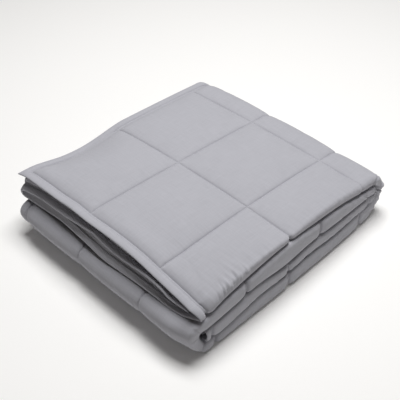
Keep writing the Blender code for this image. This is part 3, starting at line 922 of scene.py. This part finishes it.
# %% UV map
flat_places = np.stack((ring_along[used], ring_across[used]), axis=1)
loop_points = np.zeros(len(mesh.loops), dtype=np.int32)
mesh.loops.foreach_get("vertex_index", loop_points)
uv_map = mesh.uv_layers.new(name="flat_cloth")
uv_map.data.foreach_set("uv", flat_places[loop_points].astype(np.float32).ravel())
print("flat cloth", np.round(np.ptp(flat_places, axis=0), 2), "m")

# %% [markdown]
# ## Cotton
#
# Both cloths are plain-woven grey cotton, quite matt, with slightly thicker lengths of thread here and
# there. The weave is a node group, so that any cloth can use it at its own thread pitch. It reads the
# flat places of the cloth, so its threads turn with the folds.

# %% Node helpers
def new_group(name, kind, sockets):
    """An empty node group with named sockets, and its input and output node."""
    group = bpy.data.node_groups.new(name, kind)
    for direction, socket_kind, socket_name in sockets:
        group.interface.new_socket(socket_name, in_out=direction, socket_type="NodeSocket" + socket_kind)
    return group, group.nodes.new("NodeGroupInput").outputs, group.nodes.new("NodeGroupOutput").inputs


def add_node(tree, kind, settings=(), **inputs):
    """A node with its settings, and its inputs set to numbers or linked to sockets."""
    node = tree.nodes.new(kind)
    for name, value in dict(settings).items():
        setattr(node, name, value)
    for name, value in inputs.items():
        index = int(name[1:]) if name[1:].isdigit() else name.replace("_", " ")
        if isinstance(value, bpy.types.NodeSocket):
            tree.links.new(value, node.inputs[index])
        else:
            node.inputs[index].default_value = value
    return node


def calculate(tree, operation, first, second=0.0):
    """The outcome of one Math node."""
    return add_node(tree, "ShaderNodeMath", {"operation": operation}, i0=first, i1=second).outputs[0]


def new_material(name, finish):
    """A material, its tree and its Principled BSDF's inputs, with the finish's values set."""
    material = bpy.data.materials.new(name)
    material.use_nodes = True
    inputs = material.node_tree.nodes["Principled BSDF"].inputs
    for socket, value in finish.items():
        inputs[socket].default_value = value
    return material, material.node_tree, inputs


# %% Weave
weave, given, result = new_group("plain_weave", "ShaderNodeTree", (
    ("INPUT", "Vector", "Place"), ("INPUT", "Color", "Thread Colour"), ("INPUT", "Float", "Thread Pitch"),
    ("INPUT", "Float", "Slub Length"), ("INPUT", "Float", "Slub Width"), ("INPUT", "Float", "Slub Contrast"),
    ("OUTPUT", "Color", "Colour"), ("OUTPUT", "Float", "Height"), ("OUTPUT", "Float", "Roughness")))
place_parts = add_node(weave, "ShaderNodeSeparateXYZ", Vector=given["Place"]).outputs
turns = calculate(weave, "DIVIDE", math.pi, given["Thread Pitch"])
waves = [calculate(weave, "SINE", calculate(weave, "MULTIPLY", place_parts[axis], turns)) for axis in (0, 1)]
threads = calculate(weave, "MULTIPLY_ADD", calculate(weave, "MULTIPLY", *waves), 0.5)
threads.node.inputs[2].default_value = 0.5     # 1 where one set of threads is on top, 0 where the other is
CLOUDS, CLOUD_SHADE, THREAD_SHADE = 14.0, 0.05, 0.10     # clouds to the metre; how much either tints
LEAST_ROUGH, ROUGH_RANGE, STREAK_HEIGHT = 0.86, 0.08, 0.8


def slubs(long_axis):
    """Soft streaks along one set of threads."""
    sizes = [given["Slub Length" if axis == long_axis else "Slub Width"] for axis in (0, 1)]
    scaled = [calculate(weave, "DIVIDE", place_parts[axis], sizes[axis]) for axis in (0, 1)]
    other_slice = 5.0 * long_axis
    at = add_node(weave, "ShaderNodeCombineXYZ", X=scaled[0], Y=scaled[1], Z=other_slice).outputs[0]
    return add_node(weave, "ShaderNodeTexNoise", Vector=at, Scale=1.0, Detail=1.0).outputs["Fac"]


streaks = calculate(weave, "SUBTRACT", calculate(weave, "ADD", slubs(0), slubs(1)), 1.0)
uneven = add_node(weave, "ShaderNodeTexNoise", Vector=given["Place"], Scale=CLOUDS, Detail=2.0).outputs["Fac"]
tone = calculate(weave, "MULTIPLY", streaks, given["Slub Contrast"])
for amount, source in ((THREAD_SHADE, threads), (CLOUD_SHADE, uneven)):
    change = calculate(weave, "SUBTRACT", source, 0.5)
    tone = calculate(weave, "ADD", tone, calculate(weave, "MULTIPLY", change, amount))
tone = calculate(weave, "ADD", tone, 1.0)
colour = add_node(weave, "ShaderNodeVectorMath", {"operation": "SCALE"},
                  i0=given["Thread Colour"], Scale=tone)
weave.links.new(colour.outputs[0], result["Colour"])
streak_height = calculate(weave, "MULTIPLY", streaks, STREAK_HEIGHT)
weave.links.new(calculate(weave, "ADD", threads, streak_height), result["Height"])
rough = calculate(weave, "ADD", calculate(weave, "MULTIPLY", threads, ROUGH_RANGE), LEAST_ROUGH)
weave.links.new(rough, result["Roughness"])
print("weave group of", len(weave.nodes), "nodes")

# %% Cotton material
THREAD_PITCH, SLUB_LENGTH, SLUB_WIDTH, SLUB_CONTRAST = 0.0007, 0.030, 0.0018, 0.12
COTTON_GREY = (0.42, 0.42, 0.455, 1.0)
BUMP_STRENGTH, BUMP_HEIGHT = 0.45, 0.00025
COTTON_FINISH = {"Specular IOR Level": 0.25, "Sheen Weight": 0.10, "Sheen Roughness": 0.5}
cotton, tree, principled = new_material("grey_cotton_weave", COTTON_FINISH)
flat_cloth = add_node(tree, "ShaderNodeUVMap", {"uv_map": "flat_cloth"}).outputs[0]
woven = add_node(tree, "ShaderNodeGroup", {"node_tree": weave}, Place=flat_cloth, Thread_Colour=COTTON_GREY,
                 Thread_Pitch=THREAD_PITCH, Slub_Length=SLUB_LENGTH, Slub_Width=SLUB_WIDTH,
                 Slub_Contrast=SLUB_CONTRAST).outputs
bump = add_node(tree, "ShaderNodeBump", Strength=BUMP_STRENGTH, Distance=BUMP_HEIGHT, Height=woven["Height"])
tree.links.new(woven["Colour"], principled["Base Color"])
tree.links.new(woven["Roughness"], principled["Roughness"])
tree.links.new(bump.outputs["Normal"], principled["Normal"])
mesh.materials.append(cotton)
print("weave at", THREAD_PITCH * 1000, "mm")

# %% [markdown]
# ## Thread
#
# The stitching is cotton thread a shade darker than the cloth. A thread this thin shows no weave, so a
# fine noise between two greys is enough.

# %% Thread material
THREAD_GREYS = ((0.24, 0.24, 0.26, 1), (0.33, 0.33, 0.36, 1))
FIBRES = 1800.0           # to the metre
thread, tree, principled = new_material("grey_stitching_thread", {"Roughness": 0.7})
position = add_node(tree, "ShaderNodeTexCoord").outputs["Object"]
fibres = add_node(tree, "ShaderNodeTexNoise", Vector=position, Scale=FIBRES, Detail=1.0).outputs["Fac"]
shades = add_node(tree, "ShaderNodeValToRGB", Fac=fibres)
for element, shade in zip(shades.color_ramp.elements, THREAD_GREYS):
    element.color = shade
tree.links.new(shades.outputs["Color"], principled["Base Color"])
print("thread in", len(THREAD_GREYS), "greys")

# %% [markdown]
# ## Stitches
#
# The quilting and the hem are machine-sewn: a row of short stitches, about eight to the inch, each
# drawn into the cloth. Their path is a line of points at the bottom of each groove. Geometry Nodes
# spread one small stitch along it, because the same tree then serves every line.

# %% Paths of the stitched lines
STITCH_LIFT = 0.00012     # how far a stitch's middle lies above the groove's bottom
SHOWN_BEFORE_FOLD, SHOWN_PAST_FOLD = -0.022, 0.010     # below the top, thread shows only by the near folds
guide_points, guide_normals, guide_edges = [], [], []


def add_guide(rows, columns):
    """One line of stitching through points of the grid."""
    start = len(guide_points)
    guide_points.extend(face[rows, columns] + normal[rows, columns] * STITCH_LIFT + origin)
    guide_normals.extend(normal[rows, columns])
    guide_edges.extend((step, step + 1) for step in range(start, len(guide_points) - 1))


line_rows = [int(np.argmin(np.abs(cloth_along - line * CELL_LONG))) for line in range(CELLS_ALONG + 1)]
line_columns = [int(np.argmin(np.abs(even_columns - line * CELL_WIDE))) for line in (0, 1, 2)]
for row in line_rows:
    sewn_columns = (cloth_across[row] >= -ON_LINE) & (past_fold[row] < SHOWN_PAST_FOLD)
    if place[row] > 1:
        sewn_columns &= past_fold[row] > SHOWN_BEFORE_FOLD
    columns = np.flatnonzero(sewn_columns)
    add_guide(np.full_like(columns, row), columns)
for column in line_columns:
    for first, last in ((0.0, 2.0), (3.0, 4.0)):
        rows = np.flatnonzero((cloth_along > -ON_LINE) & (place >= first) & (place <= last))
        add_guide(rows, np.full_like(rows, column))
guide_mesh = bpy.data.meshes.new("stitches")
guide_mesh.from_pydata([tuple(map(float, point)) for point in guide_points], guide_edges, [])
surface_normal = guide_mesh.attributes.new("surface_normal", "FLOAT_VECTOR", "POINT")
surface_normal.data.foreach_set("vector", np.array(guide_normals, dtype=np.float32).ravel())
stitches = bpy.data.objects.new("stitches", guide_mesh)
bpy.context.scene.collection.objects.link(stitches)
print(len(guide_points), "guide points")

# %% The tree that sews them
sewing, given, result = new_group("lockstitch", "GeometryNodeTree", (
    ("INPUT", "Geometry", "Path"), ("INPUT", "Float", "Pitch"), ("INPUT", "Float", "Length"),
    ("INPUT", "Float", "Width"), ("INPUT", "Int", "Seed"), ("INPUT", "Material", "Thread"),
    ("OUTPUT", "Geometry", "Stitches")))
curve = add_node(sewing, "GeometryNodeMeshToCurve", Mesh=given["Path"]).outputs[0]
even = add_node(sewing, "GeometryNodeResampleCurve", {"mode": "LENGTH"},
                Curve=curve, Length=given["Pitch"]).outputs[0]
tangent = add_node(sewing, "GeometryNodeInputTangent").outputs[0]
up = add_node(sewing, "GeometryNodeInputNamedAttribute", {"data_type": "FLOAT_VECTOR"}, Name="surface_normal")
along_line = add_node(sewing, "FunctionNodeAlignRotationToVector", {"axis": "X"}, Vector=tangent).outputs[0]
upright = add_node(sewing, "FunctionNodeAlignRotationToVector", {"axis": "Z", "pivot_axis": "X"},
                   Rotation=along_line, Vector=up.outputs[0]).outputs[0]
ball = add_node(sewing, "GeometryNodeMeshUVSphere", Segments=6, Rings=4, Radius=0.5).outputs[0]
stitch_size = add_node(sewing, "ShaderNodeCombineXYZ",
                       X=given["Length"], Y=given["Width"], Z=given["Width"]).outputs[0]
one = add_node(sewing, "GeometryNodeTransform", Geometry=ball, Scale=stitch_size).outputs[0]
SHORTEST, LONGEST = 0.86, 1.08     # shares of the length, as a machine's feed is a little uneven
uneven_length = add_node(sewing, "FunctionNodeRandomValue", {"data_type": "FLOAT"}, i2=SHORTEST, i3=LONGEST,
                         Seed=given["Seed"]).outputs[1]
stretch = add_node(sewing, "ShaderNodeCombineXYZ", X=uneven_length, Y=1.0, Z=1.0).outputs[0]
sewn = add_node(sewing, "GeometryNodeInstanceOnPoints",
                Points=even, Instance=one, Rotation=upright, Scale=stretch)
real = add_node(sewing, "GeometryNodeRealizeInstances", Geometry=sewn.outputs[0]).outputs[0]
smooth = add_node(sewing, "GeometryNodeSetShadeSmooth", Geometry=real).outputs[0]
finished = add_node(sewing, "GeometryNodeSetMaterial", Geometry=smooth, Material=given["Thread"]).outputs[0]
sewing.links.new(finished, result["Stitches"])
print("stitching tree of", len(sewing.nodes), "nodes")

# %% Sew
SEWN = {"Pitch": 0.0030, "Length": 0.0024, "Width": 0.00055, "Seed": 5, "Thread": thread}
modifier = stitches.modifiers.new("sewn", "NODES")
modifier.node_group = sewing
for item in sewing.interface.items_tree:
    if item.in_out == "INPUT" and item.name in SEWN:
        modifier[item.identifier] = SEWN[item.name]
stitch_mesh = bpy.data.meshes.new_from_object(stitches.evaluated_get(bpy.context.evaluated_depsgraph_get()))
stitches.modifiers.clear()
stitches.data = stitch_mesh
stitch_mesh.name = "stitches"
stitch_mesh.calc_loop_triangles()
print(len(stitch_mesh.loop_triangles), "triangles of stitching")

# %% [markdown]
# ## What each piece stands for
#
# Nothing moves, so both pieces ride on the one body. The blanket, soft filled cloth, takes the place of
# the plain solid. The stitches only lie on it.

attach(blanket, "root")
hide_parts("blanket")
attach(stitches, "root")
print("pieces:", blanket.name, "and", stitches.name)

# %% [markdown]
# ## Floor and light
#
# The stack lies on a plain pale surface. A large soft light hangs high over its far side, so the top
# is bright, the near faces are dark and the shadow falls to the left. A weak one fills the right side.
# The floor glows a little, which keeps it near white without washing out the shadow.

# %% Floor
FLOOR_REACH, FLOOR_DROP = 6.0, 0.0005     # the floor lies a hair below the cloth
corners = [(x * FLOOR_REACH, y * FLOOR_REACH, -FLOOR_DROP) for x, y in ((-1, -1), (1, -1), (1, 1), (-1, 1))]
floor_mesh = bpy.data.meshes.new("floor")
floor_mesh.from_pydata(corners, [], [(0, 1, 2, 3)])
floor = bpy.data.objects.new("floor", floor_mesh)
bpy.context.scene.collection.objects.link(floor)
floor_mesh.materials.append(new_material("pale_floor", {
    "Base Color": (0.92, 0.915, 0.90, 1), "Roughness": 0.8,
    "Emission Color": (1, 1, 1, 1), "Emission Strength": 0.04})[0])
print("floor", 2 * FLOOR_REACH, "m wide")

# %% Light
world = bpy.data.worlds.new("studio")
bpy.context.scene.world = world
world.use_nodes = True
world.node_tree.nodes["Background"].inputs["Color"].default_value = (1.0, 0.90, 0.84, 1)
world.node_tree.nodes["Background"].inputs["Strength"].default_value = 0.06
LIGHTS = table(
    "name          power  size  place                target",
    ("window",     46,    1.0,  (0.29, 0.10, 2.05),  (0, 0, 0.05)),
    ("front_fill", 2.5,   0.9,  (0.95, -1.8, 0.40),  (0, 0, 0.05)),
)
for row in LIGHTS:
    light = bpy.data.lights.new(row["name"], "AREA")
    light.energy, light.size = row["power"], row["size"]
    lamp = bpy.data.objects.new(row["name"], light)
    bpy.context.scene.collection.objects.link(lamp)
    lamp.location = row["place"]
    east, north, up = np.array(row["target"]) - np.array(row["place"])
    lamp.rotation_euler = (math.atan2(math.hypot(east, north), -up), 0, math.atan2(-east, north))
bpy.context.scene.view_settings.view_transform = "Standard"
print(len(LIGHTS), "lights")

# %% [markdown]
# ## Camera
#
# The camera stands where the photograph was taken from. Its place, tilt and lens come from the
# crossings of the stitched lines on the top, whose real distances are known.

# %% Camera
CAMERA_PLACE = (-0.65544, -0.63714, 0.83246)
LOOKS_DOWN, TURNED = 40.8407, -45.5356     # degrees below level, and degrees from north
SENSOR_MM, LENS_MM = 36, 65.91
camera_data = bpy.data.cameras.new("photo_camera")
camera_data.sensor_width, camera_data.lens = SENSOR_MM, LENS_MM
camera = bpy.data.objects.new("photo_camera", camera_data)
camera.location = CAMERA_PLACE
camera.rotation_euler = (math.radians(90 - LOOKS_DOWN), 0, math.radians(TURNED))
bpy.context.scene.collection.objects.link(camera)
bpy.context.scene.camera = camera
print("camera with a", LENS_MM, "mm lens")
